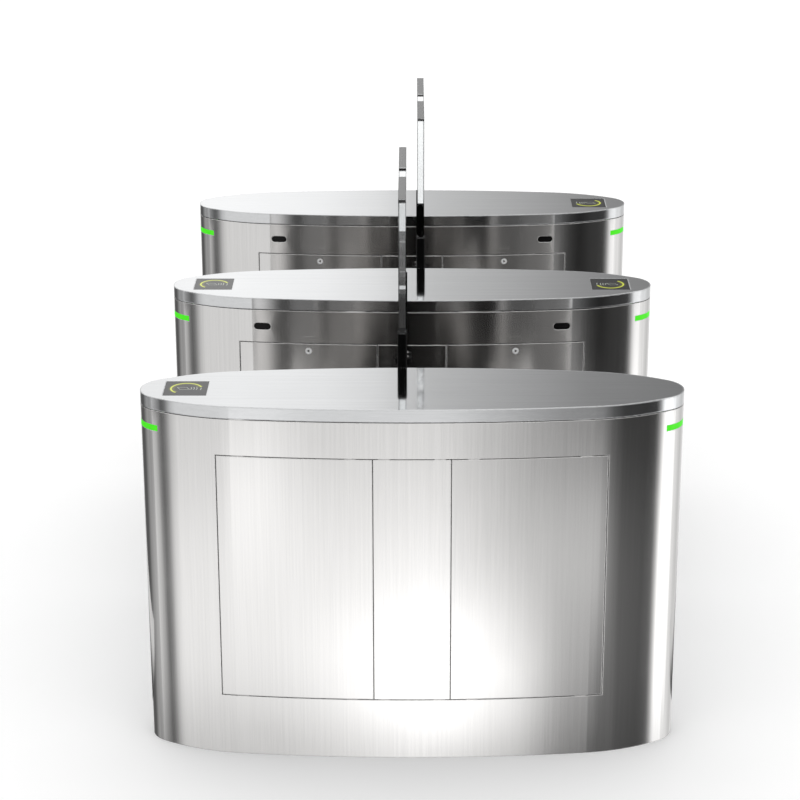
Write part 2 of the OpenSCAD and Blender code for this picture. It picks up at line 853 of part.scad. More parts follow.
color("limegreen") for (p = peds, s = [-1, 1]) light_bar(p, s);  // light_bars
color("dimgray") for (p = peds, s = reader_ends[p]) reader(p, s);  // readers
color("black") for (i = sides, s = [-1, 1]) beam_sensor(i, s);  // beam_sensors
color("darkgreen") for (p = peds) lane_controller(p);  // controllers
color("lightslategray") for (p = peds) power_supply(p);  // power_supplies
color("silver") for (i = sides) side_screws(i);  // arm_screws
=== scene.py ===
import math

import bpy
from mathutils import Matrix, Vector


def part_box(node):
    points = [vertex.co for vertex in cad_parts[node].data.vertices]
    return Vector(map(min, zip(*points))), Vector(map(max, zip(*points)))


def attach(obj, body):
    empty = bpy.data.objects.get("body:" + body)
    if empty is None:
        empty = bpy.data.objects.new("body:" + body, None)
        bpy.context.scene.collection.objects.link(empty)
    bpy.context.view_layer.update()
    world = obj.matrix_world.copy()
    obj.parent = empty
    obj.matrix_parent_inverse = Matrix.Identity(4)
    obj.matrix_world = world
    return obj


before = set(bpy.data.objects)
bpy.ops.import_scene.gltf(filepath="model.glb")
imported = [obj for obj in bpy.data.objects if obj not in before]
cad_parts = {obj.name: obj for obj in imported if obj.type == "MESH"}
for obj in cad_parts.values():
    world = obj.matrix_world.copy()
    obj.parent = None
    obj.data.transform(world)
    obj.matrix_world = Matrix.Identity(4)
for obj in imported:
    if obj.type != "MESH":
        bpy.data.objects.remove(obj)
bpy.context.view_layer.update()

# Lane faces and pedestals, from the photograph's front to its rear
SIDES = ("front", "middle_a", "middle_b", "rear")
PEDESTALS = ("front", "middle", "rear")

# Places that the materials follow, in metres; X and Y count from the middle of a pedestal
PITCH = 0.915
POST_TOP = 1.07
WING_TOP = 1.435
WING_X = 0.026
READER_X = 0.581
READER_TOP = 0.9795
LOCK_X, LOCK_Y, LOCK_Z = 0.3, 0.15109, 0.824
# A pedestal's rounded end: its centre, and the radius beyond which a lamp's lens glows
TIP_X, TIP_RADIUS = 0.624, 0.0748


# Camera

CAMERA_BACK = 6.6462
CAMERA_HEIGHT = 3.0158
CAMERA_TILT = 19.837
CAMERA_REACH = 200.0
LENS = 106.398
LENS_SHIFT = -0.01508
SENSOR_WIDTH = 36.0


def look_camera():
    """The photograph's camera: it looks along +Y and down, from in front of the front pedestal."""
    data = bpy.data.cameras.new("camera")
    data.lens = LENS
    data.sensor_width = SENSOR_WIDTH
    data.shift_x = LENS_SHIFT
    data.clip_end = CAMERA_REACH
    camera = bpy.data.objects.new("camera", data)
    camera.location = (0.0, -CAMERA_BACK, CAMERA_HEIGHT)
    camera.rotation_euler = (math.radians(90 - CAMERA_TILT), 0.0, 0.0)
    bpy.context.scene.collection.objects.link(camera)
    bpy.context.scene.camera = camera


look_camera()


# Shader nodes

class Wire:
    """A socket of a node tree, with arithmetic that adds Math nodes."""

    def __init__(self, tree, socket):
        self.tree, self.socket = tree, socket

    def math(self, operation, *others):
        return self.tree.add("Math", {"operation": operation}, 0, [self, *others])

    def __add__(self, other):
        return self.math("ADD", other)

    def __sub__(self, other):
        return self.math("SUBTRACT", other)

    def __mul__(self, other):
        return self.math("MULTIPLY", other)

    def __truediv__(self, other):
        return self.math("DIVIDE", other)

    def __rsub__(self, other):
        return self.tree.add("Math", {"operation": "SUBTRACT"}, 0, [other, self])

    __radd__, __rmul__ = __add__, __mul__

    def above(self, edge):
        return self.math("GREATER_THAN", edge)

    def below(self, edge):
        return self.math("LESS_THAN", edge)

    def size(self):
        return self.math("ABSOLUTE")

    def most(self, other):
        return self.math("MAXIMUM", other)

    def spread(self, low, high, to_low=0.0, to_high=1.0):
        """Maps low..high to to_low..to_high smoothly, and holds the ends."""
        return self.tree.add("MapRange", {"interpolation_type": "SMOOTHSTEP"}, 0,
                             [self, low, high, to_low, to_high])


class Tree:
    """A node tree under construction."""

    def __init__(self, tree):
        self.tree = tree
        tree.nodes.clear()

    def add(self, kind, settings=None, out=0, values=()):
        """Adds a node: its settings, then the values or links of its sockets, by place or by name."""
        node = self.tree.nodes.new("ShaderNode" + kind)
        for name, value in (settings or {}).items():
            if name == "stops":
                ramp = node.color_ramp
                while len(ramp.elements) > 1:
                    ramp.elements.remove(ramp.elements[-1])
                for n, (place, shade) in enumerate(value):
                    element = ramp.elements[0] if n == 0 else ramp.elements.new(place)
                    element.position = place
                    element.color = (*shade, 1) if isinstance(shade, tuple) else (shade,) * 3 + (1,)
            else:
                setattr(node, name, value)
        pairs = values.items() if isinstance(values, dict) else enumerate(values)
        for key, value in pairs:
            socket = node.inputs[key]
            if isinstance(value, Wire):
                self.tree.links.new(value.socket, socket)
            elif value is not None:
                socket.default_value = value
        return Wire(self, node.outputs[out])

    def ramp(self, factor, stops):
        return self.add("ValToRGB", {"stops": stops}, 0, [factor])

    def blend(self, factor, a, b):
        """Mixes two colours."""
        return self.add("Mix", {"data_type": "RGBA"}, 2, {0: factor, 6: a, 7: b})

    def noise(self, where, scale, detail=2.0, roughness=0.5):
        return self.add("TexNoise", None, 0, {"Vector": where, "Scale": scale, "Detail": detail,
                                              "Roughness": roughness})

    def stretched(self, where, scale):
        return self.add("Mapping", None, 0, {"Vector": where, "Scale": scale})

    def bump(self, height, distance, strength=1.0, normal=None):
        values = {"Height": height, "Distance": distance, "Strength": strength}
        if normal:
            values["Normal"] = normal
        return self.add("Bump", None, 0, values)

    def here(self):
        """The place on the piece, in its own coordinates."""
        return self.add("TexCoord", None, "Object")

    def axes(self, where):
        """The X, Y and Z of a place or a direction."""
        node = self.add("SeparateXYZ", None, 0, [where]).socket.node
        return [Wire(self, node.outputs[n]) for n in range(3)]

    def end(self, output, shader):
        """Ends the tree in its output."""
        node = self.tree.nodes.new("ShaderNode" + output)
        self.tree.links.new(shader.socket, node.inputs["Surface"])


def far(a, b):
    """Distance in a plane, from its two coordinates."""
    return (a * a + b * b).math("SQRT")


def from_pedestal(y):
    """Place across the bank, counted from the middle of the nearest pedestal."""
    return y - (y / PITCH).math("ROUND") * PITCH


def material_of(name, build):
    """A material that ends in the shader which build(tree) returns."""
    material = bpy.data.materials.new(name)
    material.use_nodes = True
    tree = Tree(material.node_tree)
    tree.end("OutputMaterial", build(tree))
    return material


def surface(name, inputs, build):
    """A material with one Principled shader; build(tree, where) returns the inputs that vary."""
    def principled(tree):
        return tree.add("BsdfPrincipled", None, 0, {**inputs, **build(tree, tree.here())})

    return material_of(name, principled)


def shade(value):
    return (value, value, value, 1.0)


def tint(red, green, blue):
    return (red, green, blue, 1.0)


# Scales of the fine and the coarse hairlines, and how much lines, bands and stains change the steel
HAIRLINES = {"upright": ((900, 900, 6), (160, 160, 1.5)), "along": ((5, 700, 700), (1.2, 120, 120))}
LINE_TONE, BAND_TONE, STAIN_TONE = 0.1, 0.07, 0.04
LINE_ROUGH, STAIN_ROUGH = 0.05, 0.06


def brushed(tree, where, run, cast, tone, rough, depth, edge):
    """Fine hairlines that run upright or along the pedestal, slow stains, and rounded folded edges."""
    fine, coarse = HAIRLINES[run]
    lines = tree.noise(tree.stretched(where, fine), 1.0, 2.0, 0.6)
    bands = tree.noise(tree.stretched(where, coarse), 1.0, 2.0, 0.5)
    stain = tree.noise(where, 5.0, 3.0, 0.55)
    level = (lines - 0.5) * LINE_TONE + (bands - 0.5) * BAND_TONE + (stain - 0.5) * STAIN_TONE + tone
    colour = tree.add("CombineColor", None, 0, [level * (1.0 + cast), level, level * (1.0 - cast)])
    rounded = tree.add("Bevel", {"samples": 4}, 0, {"Radius": edge})
    return {"Base Color": colour,
            "Roughness": (stain - 0.5) * STAIN_ROUGH + (lines - 0.5) * LINE_ROUGH + rough,
            "Normal": tree.bump(lines, depth, 1.0, rounded)}


STEEL = {"Metallic": 1.0, "Specular IOR Level": 0.5}
skin_steel = surface("satin_polished_stainless", STEEL, lambda t, w: brushed(
    t, w, "upright", cast=0.012, tone=0.71, rough=0.1, depth=0.0000012, edge=0.003))
top_steel = surface("bright_polished_stainless", STEEL, lambda t, w: brushed(
    t, w, "along", cast=-0.01, tone=0.70, rough=0.07, depth=0.0000008, edge=0.0045))
frame_paint = surface("grey_primer", {"Metallic": 0.0}, lambda t, w: {
    "Base Color": t.ramp(t.noise(w, 30.0, 4.0), [(0.3, 0.15), (0.7, 0.2)]),
    "Roughness": t.noise(w, 80.0) * 0.2 + 0.45,
    "Normal": t.bump(t.noise(w, 400.0, 3.0), 0.0002, 0.4)})


# A lock's key socket, whose hollow is painted near-black as shade: its reach from the barrel's axis, and how
# far over the door's face it starts
SOCKET_RADIUS = 0.0056
SOCKET_START = 0.0004


def nickel(tree, where):
    """Satin nickel; the three-sided key socket, which lies behind the barrel's front, is painted near-black
    as shade in its hollow.
    """
    x, y, z = tree.axes(where)
    # Painted shade: the key socket's hollow, behind the barrel's front, is coloured near-black
    inside = from_pedestal(y).size().below(LOCK_Y + SOCKET_START)
    socket = inside * far(x.size() - LOCK_X, z - LOCK_Z).below(SOCKET_RADIUS)
    bright = tree.ramp(tree.noise(where, 300.0), [(0.3, 0.9), (0.7, 0.97)])
    return {"Base Color": tree.blend(socket, bright, shade(0.01)),
            "Roughness": tree.noise(where, 500.0) * 0.1 + 0.32}


lock_chrome = surface("satin_nickel_lock", {"Metallic": 0.0, "Specular IOR Level": 0.9}, nickel)
post_black = surface("satin_black_coating", {"Metallic": 0.0, "Specular IOR Level": 0.03}, lambda t, w: {
    "Base Color": t.ramp(t.noise(w, 60.0, 3.0), [(0.3, 0.0015), (0.7, 0.003)]),
    "Roughness": t.noise(w, 140.0) * 0.14 + 0.36,
    "Normal": t.bump(t.noise(w, 1500.0, 2.0), 0.00003, 0.35)})


# The wings' plates, in metres. From a plate's middle plane: where its broad faces and eased edges start.
# From its outline: the rim on the faces. From its top: the top face, the band and the corner under it.
# From the middle of the lane and over the post: where the clamped strip, painted black as shade, starts and
# ends.
BROAD_FACE = 0.0099
EASED_EDGE = 0.0086
RIM = 0.0016
TOP_FACE = 0.0004
TOP_BAND = 0.0013
CORNER_HIGH, CORNER_LOW = 0.0012, 0.0065
CLAMP_START = 0.25
CLAMP_RISE = 0.001
# How dark the painted shade and shadow are on the eased edges, the corner and the rim, and how frosted the
# top face and band are
EASED_DARK, CORNER_DARK, RIM_DARK = 0.35, 0.93, 0.4
TOP_FROST, BAND_FROST = 0.17, 0.4


def clear_wing(tree):
    """Clear acrylic, a little frosted on top, with painted shade along its eased edges and rim, a painted
    shadow under its top corners, and painted black shade where the post holds it.
    """
    where = tree.here()
    x, y, z = tree.axes(where)
    glass = tree.ramp(tree.noise(where, 3.0), [(0.3, (0.955, 0.965, 0.968)), (0.7, (0.965, 0.975, 0.978))])
    clear = tree.add("BsdfPrincipled", None, 0, {
        "Base Color": glass, "Roughness": tree.noise(where, 8.0, 4.0) * 0.012,
        "Transmission Weight": 1.0, "IOR": 1.52, "Metallic": 0.0})
    painted_shade = tree.add("BsdfPrincipled", None, 0, {
        "Base Color": tree.ramp(tree.noise(where, 300.0), [(0.3, 0.003), (0.7, 0.006)]),
        "Roughness": 0.7, "Specular IOR Level": 0.1})
    frost = tree.add("BsdfPrincipled", None, 0, {
        "Base Color": tree.ramp(tree.noise(where, 200.0), [(0.3, 0.6), (0.7, 0.75)]), "Roughness": 0.6})
    # Distances from the middle plane of the plate and from the middle of its lane
    thick = (x.size() - WING_X).size()
    lane = (y.size() - PITCH / 2).size()
    side = thick.above(BROAD_FACE)
    # Painted shade: the strip that the post holds is coloured black
    clamped = lane.above(CLAMP_START) * z.below(POST_TOP + CLAMP_RISE)
    low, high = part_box("wing_front")
    free, held = sorted(abs(abs(end[1]) - PITCH / 2) for end in (low, high))
    rim = lane.below(free + RIM).most(lane.above(held - RIM))
    rim = rim.most(z.above(high[2] - RIM)).most(z.below(low[2] + RIM))
    # Painted shadow under the top corners, and painted shade on the eased edges and along the rim of the
    # broad faces
    corner = z.above(WING_TOP - CORNER_LOW) * z.below(WING_TOP - CORNER_HIGH) * CORNER_DARK
    eased = (thick.above(EASED_EDGE) * EASED_DARK).most(corner) * (1.0 - side)
    eased = eased.most(rim * side * RIM_DARK)
    top = z.above(WING_TOP - TOP_FACE)
    frosted = (top * TOP_FROST).most(z.above(WING_TOP - TOP_BAND) * (1.0 - top) * BAND_FROST)
    edged = tree.add("MixShader", None, 0, [frosted, clear, frost])
    return tree.add("MixShader", None, 0, [clamped.most(eased), edged, painted_shade])


wing_clear = material_of("clear_acrylic", clear_wing)
turned_aluminium = surface("turned_aluminium", {"Metallic": 1.0}, lambda t, w: {
    "Base Color": t.ramp(t.noise(t.stretched(w, (30, 30, 900)), 1.0), [(0.3, 0.55), (0.7, 0.7)]),
    "Roughness": t.noise(w, 200.0) * 0.15 + 0.25})
motor_paint = surface("semi_gloss_black_paint", {"Metallic": 0.0}, lambda t, w: {
    "Base Color": t.ramp(t.noise(w, 90.0, 3.0), [(0.3, 0.012), (0.7, 0.02)]),
    "Roughness": t.noise(w, 120.0) * 0.15 + 0.32,
    "Normal": t.bump(t.noise(w, 900.0), 0.00008, 0.4)})
belt_rubber = surface("belt_rubber", {"Metallic": 0.0}, lambda t, w: {
    "Base Color": t.ramp(t.noise(w, 250.0, 3.0), [(0.3, 0.012), (0.7, 0.024)]),
    "Roughness": t.noise(w, 300.0) * 0.15 + 0.65})
bearing_steel = surface("ground_bearing_steel", {"Metallic": 1.0}, lambda t, w: {
    "Base Color": t.ramp(t.noise(w, 200.0), [(0.3, 0.5), (0.7, 0.6)]),
    "Roughness": t.noise(w, 400.0) * 0.1 + 0.2})


def lamp_lens(tree, where):
    """A green lens lit from within; only its outer face, beyond the tip's inner radius, glows."""
    x, y = tree.axes(where)[:2]
    outer = far(x.size() - TIP_X, from_pedestal(y)).above(TIP_RADIUS)
    lens = tree.ramp(tree.noise(where, 40.0), [(0.3, (0.01, 0.1, 0.005)), (0.7, (0.015, 0.12, 0.005))])
    lit = tree.ramp(tree.noise(where, 60.0), [(0.3, (0.055, 0.7, 0.008)), (0.7, (0.075, 0.78, 0.015))])
    return {"Base Color": lens, "Emission Color": tree.blend(outer, shade(0.0), lit)}


lamp_green = surface("lit_green_lens", {"Metallic": 0.0, "Emission Strength": 1.0, "Roughness": 0.4,
                                        "Specular IOR Level": 0.2}, lamp_lens)
sensor_black = surface("infrared_black_window", {"Metallic": 0.0, "Specular IOR Level": 0.2}, lambda t, w: {
    "Base Color": t.ramp(t.noise(w, 100.0), [(0.3, 0.001), (0.7, 0.003)]),
    "Roughness": t.noise(w, 300.0) * 0.06 + 0.08})
controller_plastic = surface("moulded_box", {"Metallic": 0.0}, lambda t, w: {
    "Base Color": t.ramp(t.noise(w, 60.0, 3.0), [(0.3, (0.02, 0.05, 0.03)), (0.7, (0.03, 0.065, 0.04))]),
    "Roughness": t.noise(w, 300.0) * 0.15 + 0.5,
    "Normal": t.bump(t.noise(w, 1200.0), 0.0001, 0.4)})
supply_metal = surface("folded_zinc_sheet", {"Metallic": 1.0}, lambda t, w: {
    "Base Color": t.ramp(t.add("TexVoronoi", None, 0, {"Vector": w, "Scale": 90.0}),
                         [(0.0, 0.5), (0.8, 0.66)]),
    "Roughness": t.noise(w, 60.0) * 0.2 + 0.3})
screw_zinc = surface("zinc_plated_steel", {"Metallic": 1.0}, lambda t, w: {
    "Base Color": t.ramp(t.noise(w, 250.0), [(0.3, (0.6, 0.59, 0.53)), (0.7, (0.7, 0.69, 0.64))]),
    "Roughness": t.noise(w, 300.0) * 0.12 + 0.25})


# The readers' lit marks, in metres from a reader's middle and in radians round it
RING_SOFT = 0.0005
LIME_RADIUS, LIME_HALF, LIME_GAP = 0.0392, 0.0019, (-2.25, 0.3)
HALO_RADIUS, HALO_FADE, HALO_STRENGTH = 0.0375, (0.001, 0.011), 0.16
DASH_RADIUS, DASH_HALF, DASH_SPAN = 0.0385, 0.0008, (-0.32, 0.16)
WAVES, WAVE_HALF = ((0.014, 0.6), (0.021, 0.5), (0.028, 0.4)), 0.0007
CARD_ENDS, CARD_HALF, CARD_LINE, CARD_SLANT = (-0.02, 0.006), 0.009, 0.0015, 0.5
LIME, HALO, MARKS = tint(0.60, 0.66, 0.04), tint(0.62, 0.6, 0.03), tint(0.4, 0.43, 0.37)


def between(value, low, high):
    return value.below(high) * value.above(low)


def reader_face(tree, where):
    """Dark glass over a lime light ring, open on one side, with pale marks of a card and its waves."""
    across, along, up = tree.axes(where)
    # Every reader is the same drawing: it is turned half round at the right ends
    x = READER_X - across.size()
    y = from_pedestal(along) * (1.0 - across.above(0.0) * 2.0)
    out = far(x, y)
    angle = y.math("ARCTAN2", x)
    on_top = up.above(READER_TOP)
    slant = x + y * CARD_SLANT

    def ring(radius, half):
        return 1.0 - (out - radius).size().spread(half, half + RING_SOFT)

    def card(inset):
        wide = between(slant, CARD_ENDS[0] + inset, CARD_ENDS[1] - inset)
        return wide * between(y, inset - CARD_HALF, CARD_HALF - inset)

    lime_arc = 1.0 - between(angle, *LIME_GAP)
    lime = ring(LIME_RADIUS, LIME_HALF) * lime_arc * on_top
    halo = (1.0 - (out - HALO_RADIUS).size().spread(*HALO_FADE)) * lime_arc * on_top
    strokes = ring(DASH_RADIUS, DASH_HALF) * between(angle, *DASH_SPAN)
    for radius, span in WAVES:
        strokes = strokes.most(ring(radius, WAVE_HALF) * between(angle, -span, span))
    strokes = strokes.most(card(0.0) - card(CARD_LINE)) * on_top
    base = tree.ramp(tree.noise(where, 50.0, 3.0), [(0.3, 0.006), (0.7, 0.009)])
    glow = tree.blend(halo * HALO_STRENGTH, shade(0.0), HALO)
    glow = tree.blend(strokes, glow, MARKS)
    return {"Base Color": base, "Emission Color": tree.blend(lime, glow, LIME),
            "Roughness": tree.noise(where, 500.0) * 0.05 + 0.1}


reader_glass = surface("reader_glass", {"Metallic": 0.0, "Specular IOR Level": 0.42,
                                        "Emission Strength": 1.0}, reader_face)


def finish_node(names, material):
    """Gives CAD nodes their material."""
    for name in names:
        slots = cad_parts[name].data.materials
        slots.clear()
        slots.append(material)


finish_node([f"shell_{p}" for p in PEDESTALS] + ["lane_panels", "outer_panels"], skin_steel)
finish_node([f"door_{s}_{e}" for s in SIDES for e in ("left", "right")], skin_steel)
finish_node([f"cover_{p}" for p in PEDESTALS], top_steel)
finish_node([f"base_{p}" for p in PEDESTALS] + [f"frame_{p}" for p in PEDESTALS], frame_paint)
finish_node([f"lock_{s}_{e}" for s in SIDES for e in ("left", "right")], lock_chrome)
finish_node([f"post_{s}" for s in SIDES] + ["lower_arms", "upper_arms"], post_black)
finish_node([f"wing_{s}" for s in SIDES], wing_clear)
finish_node([f"{n}_{s}" for n in ("post_pulley", "drive_pulley") for s in SIDES], turned_aluminium)
finish_node([f"gear_motor_{s}" for s in SIDES], motor_paint)
finish_node(["belts"], belt_rubber)
finish_node(["bearings"], bearing_steel)
finish_node(["light_bars"], lamp_green)
finish_node(["beam_sensors"], sensor_black)
finish_node(["controllers"], controller_plastic)
finish_node(["power_supplies"], supply_metal)
finish_node(["arm_screws"], screw_zinc)
finish_node(["readers"], reader_glass)


# Fixings inside the pedestals, grown by Geometry Nodes

BASE_TOP = 0.011
ANCHORS = (1.0, 0.11)
TRAY_X = 0.3095
TRAY_TOP = 0.3
# A nut's turned collar and a stud's crown, as shares of their radii, and how far they stand proud
COLLAR_SHARE, COLLAR_PROUD = 0.85, 0.0008
CROWN_SHARE, CROWN_PROUD = 0.8, 0.001
STUD_FOOT = 0.001
# A screw's raised cross
CROSS_SHARE, CROSS_PROUD = 0.45, 0.0003


class Grow:
    """A Geometry Nodes tree with sizes in metres as named inputs, which ends as a plain mesh."""

    def __init__(self, name, sizes):
        self.name, self.sizes = name, sizes
        self.tree = bpy.data.node_groups.new(name, "GeometryNodeTree")
        for size in sizes:
            self.tree.interface.new_socket(size, in_out="INPUT", socket_type="NodeSocketFloat")
        self.tree.interface.new_socket("Geometry", in_out="OUTPUT", socket_type="NodeSocketGeometry")
        self.start = self.tree.nodes.new("NodeGroupInput")

    def size(self, name):
        return self.start.outputs[name]

    def add(self, kind, values=(), settings=None, out=0):
        """Adds a node by its full type; a list given to one socket links each of its geometries."""
        node = self.tree.nodes.new(kind)
        for name, value in (settings or {}).items():
            setattr(node, name, value)
        pairs = values.items() if isinstance(values, dict) else enumerate(values)
        for key, value in pairs:
            for item in value if isinstance(value, list) else [value]:
                if isinstance(item, bpy.types.NodeSocket):
                    self.tree.links.new(item, node.inputs[key])
                else:
                    node.inputs[key].default_value = item
        return node.outputs[out]

    def sum(self, *values):
        total = values[0]
        for value in values[1:]:
            total = self.add("ShaderNodeMath", [total, value], {"operation": "ADD"})
        return total

    def times(self, a, b):
        return self.add("ShaderNodeMath", [a, b], {"operation": "MULTIPLY"})

    def point(self, x=0.0, y=0.0, z=0.0):
        return self.add("ShaderNodeCombineXYZ", [x, y, z])

    def row(self, count, start, step):
        return self.add("GeometryNodeMeshLine", {"Count": count, "Start Location": start, "Offset": step})

    def rod(self, sides, radius, height, low):
        """An upright cylinder or prism that stands at one height."""
        rod = self.add("GeometryNodeMeshCylinder", {"Vertices": sides, "Radius": radius, "Depth": height})
        return self.moved(rod, self.point(z=self.sum(low, self.times(height, 0.5))))

    def moved(self, shape, offset):
        return self.add("GeometryNodeTransform", {"Geometry": shape, "Translation": offset})

    def joined(self, *shapes):
        return self.add("GeometryNodeJoinGeometry", {"Geometry": list(shapes)})

    def copies(self, points, shape, turn=None):
        values = {"Points": points, "Instance": shape}
        if turn is not None:
            values["Rotation"] = turn
        return self.add("GeometryNodeInstanceOnPoints", values)

    def on_pedestals(self, places):
        """The same points on each of the three pedestals."""
        pitch = self.size("Pitch")
        pedestals = self.row(3, self.point(y=self.times(pitch, -1.0)), self.point(y=pitch))
        return self.add("GeometryNodeRealizeInstances", [self.copies(pedestals, places)])

    def finish(self, shape, material, body):
        """Ends the tree, turns its result into a plain mesh and lets it ride on a body."""
        solid = self.add("GeometryNodeRealizeInstances", [shape])
        dressed = self.add("GeometryNodeSetMaterial", {"Geometry": solid, "Material": material})
        self.tree.links.new(dressed, self.tree.nodes.new("NodeGroupOutput").inputs[0])
        piece = bpy.data.objects.new(self.name, bpy.data.meshes.new(self.name))
        bpy.context.scene.collection.objects.link(piece)
        growth = piece.modifiers.new("growth", "NODES")
        growth.node_group = self.tree
        for item in self.tree.interface.items_tree:
            if item.in_out == "INPUT":
                growth[item.identifier] = self.sizes[item.name]
        seen = piece.evaluated_get(bpy.context.evaluated_depsgraph_get())
        mesh = bpy.data.meshes.new_from_object(seen)
        piece.modifiers.clear()
        piece.data = mesh
        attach(piece, body)
        return piece


def anchor_fixings():
    """M12 anchor studs with a washer and a nut, through the cross pieces and base plate of each pedestal."""
    g = Grow("anchor_fixings", {"Stud Radius": 0.006, "Nut Radius": 0.0106, "Nut Height": 0.0102,
                                "Washer Radius": 0.012, "Washer Height": 0.0024, "Stud Rise": 0.007,
                                "Plate Top": BASE_TOP, "Length": ANCHORS[0], "Depth": ANCHORS[1],
                                "Pitch": PITCH})
    low = g.size("Plate Top")
    nut_low = g.sum(low, g.size("Washer Height"))
    washer = g.rod(28, g.size("Washer Radius"), g.size("Washer Height"), low)
    nut = g.rod(6, g.size("Nut Radius"), g.size("Nut Height"), nut_low)
    # The nut's turned top and foot, slightly narrower than its flats
    collar = g.rod(28, g.times(g.size("Nut Radius"), COLLAR_SHARE),
                   g.sum(g.size("Nut Height"), COLLAR_PROUD), nut_low)
    stud_height = g.sum(nut_low, g.size("Nut Height"), g.size("Stud Rise"), -STUD_FOOT)
    stud = g.rod(20, g.size("Stud Radius"), stud_height, STUD_FOOT)
    crown = g.rod(20, g.times(g.size("Stud Radius"), CROWN_SHARE), g.sum(stud_height, CROWN_PROUD), STUD_FOOT)
    holes = g.add("GeometryNodeMeshGrid", {"Size X": g.size("Length"), "Size Y": g.size("Depth"),
                                           "Vertices X": 2, "Vertices Y": 2})
    turn = g.add("FunctionNodeRandomValue", {"Max": math.pi / 3, "Seed": 7}, {"data_type": "FLOAT"}, "Value")
    fixing = g.joined(washer, nut, collar, stud, crown)
    g.finish(g.copies(g.on_pedestals(holes), fixing, g.point(z=turn)), screw_zinc, "bank")


def cable_grommets():
    """Rubber edgings round the cable holes of the base plates."""
    g = Grow("cable_grommets", {"Ring Radius": 0.0368, "Lip Radius": 0.0022, "Plate Top": 0.008,
                                "Reach": TRAY_X, "Pitch": PITCH})
    path = g.add("GeometryNodeCurvePrimitiveCircle", {"Resolution": 56, "Radius": g.size("Ring Radius")})
    lip = g.add("GeometryNodeCurvePrimitiveCircle", {"Resolution": 10, "Radius": g.size("Lip Radius")})
    ring = g.add("GeometryNodeCurveToMesh", {"Curve": path, "Profile Curve": lip})
    ring = g.moved(ring, g.point(z=g.sum(g.size("Plate Top"), g.size("Lip Radius"))))
    ends = g.row(2, g.point(g.times(g.size("Reach"), -1.0)), g.point(g.times(g.size("Reach"), 2.0)))
    g.finish(g.copies(g.on_pedestals(ends), ring), belt_rubber, "bank")


def terminal_screws():
    """Slotted heads on the controllers' plugs, three to a plug."""
    g = Grow("terminal_screws", {"Head Radius": 0.0021, "Head Height": 0.0011, "Plug Step": 0.044,
                                 "Screw Step": 0.007, "Row Y": 0.0645, "Top": TRAY_TOP + 0.016,
                                 "Middle": TRAY_X, "Pitch": PITCH})
    head = g.rod(12, g.size("Head Radius"), g.size("Head Height"), g.size("Top"))
    cross = g.rod(4, g.times(g.size("Head Radius"), CROSS_SHARE),
                  g.sum(g.size("Head Height"), CROSS_PROUD), g.size("Top"))
    three = g.row(3, g.point(g.times(g.size("Screw Step"), -1.0)), g.point(g.size("Screw Step")))
    first = g.sum(g.size("Middle"), g.times(g.size("Plug Step"), -2.0))
    plugs = g.row(5, g.point(first, g.size("Row Y")), g.point(g.size("Plug Step")))
    screws = g.add("GeometryNodeRealizeInstances", [g.copies(plugs, three)])
    g.finish(g.copies(g.on_pedestals(screws), g.joined(head, cross)), screw_zinc, "bank")


anchor_fixings()
cable_grommets()
terminal_screws()


# Stage: the floor, the shade under it and the world; there are no lamps

FLOOR_HALF = 40.0
FLOOR_WHITE = 1.1
# The shade card under the floor, and how bright it is by the distance from the bank's middle
SHADE_HALF, SHADE_DROP = (1.4, 0.75), 0.002
SHADE_NEAR = (0.45, 0.8, 0.018, 0.07)
SHADE_FAR = (0.82, 1.2, 0.0, 0.7)


def plate(name, half_x, half_y, height, material):
    """A flat piece of the stage, round the middle of the bank."""
    corners = [(-half_x, -half_y, height), (half_x, -half_y, height),
               (half_x, half_y, height), (-half_x, half_y, height)]
    mesh = bpy.data.meshes.new(name)
    mesh.from_pydata(corners, [], [(0, 1, 2, 3)])
    mesh.materials.append(material)
    obj = bpy.data.objects.new(name, mesh)
    bpy.context.scene.collection.objects.link(obj)
    return obj


def floor_shader(tree):
    """Matt white, a little over full so that it is clear white away from the pedestals' soft shade."""
    return tree.add("BsdfDiffuse", None, 0, {"Color": shade(FLOOR_WHITE), "Roughness": 0.0})


def shade_shader(tree):
    """The shaded floor that the lane faces mirror: darkest between the pedestals, lighter past their ends."""
    out = tree.axes(tree.here())[0].size()
    return tree.add("Emission", None, 0, [shade(1.0), out.spread(*SHADE_NEAR) + out.spread(*SHADE_FAR)])


floor = plate("floor", FLOOR_HALF, FLOOR_HALF, 0.0, material_of("pale_floor", floor_shader))
floor.visible_glossy = False
card = plate("lane_shade", *SHADE_HALF, -SHADE_DROP, material_of("shaded_floor", shade_shader))
card.visible_camera = card.visible_diffuse = card.visible_shadow = card.visible_transmission = False

# What polished steel mirrors: light and dark bands round the set, chosen one by one. Each stop has its place
# by the sine of its bearing, from 0 at the left to 1 at the right, and its brightness.
LOW_BANDS = [(0.0, 0.4), (0.012, 0.6), (0.022, 0.82), (0.033, 0.78), (0.041, 0.4), (0.05, 0.13),
             (0.062, 0.24), (0.08, 0.76), (0.1, 0.97), (0.2, 0.97), (0.35, 0.98), (0.45, 1.0),
             (0.515, 1.02), (0.54, 0.93), (0.565, 0.76), (0.6, 0.65), (0.66, 0.67), (0.69, 0.65),
             (0.715, 0.48), (0.75, 0.26), (0.8, 0.13), (0.9, 0.1), (0.93, 0.13), (0.943, 0.6),
             (0.952, 1.6), (0.975, 1.6), (0.99, 1.4), (1.0, 1.2)]
# The same behind the set, which the pedestals' ends and the rear face mirror
BACK_BANDS = [(0.0, 0.35), (0.02, 0.24), (0.06, 0.1), (0.2, 0.1), (0.24, 0.3), (0.35, 0.8), (0.44, 0.9),
              (0.52, 0.3), (0.6, 0.4), (0.7, 0.75), (0.78, 0.7), (0.9, 0.6), (0.96, 0.7), (1.0, 0.85)]
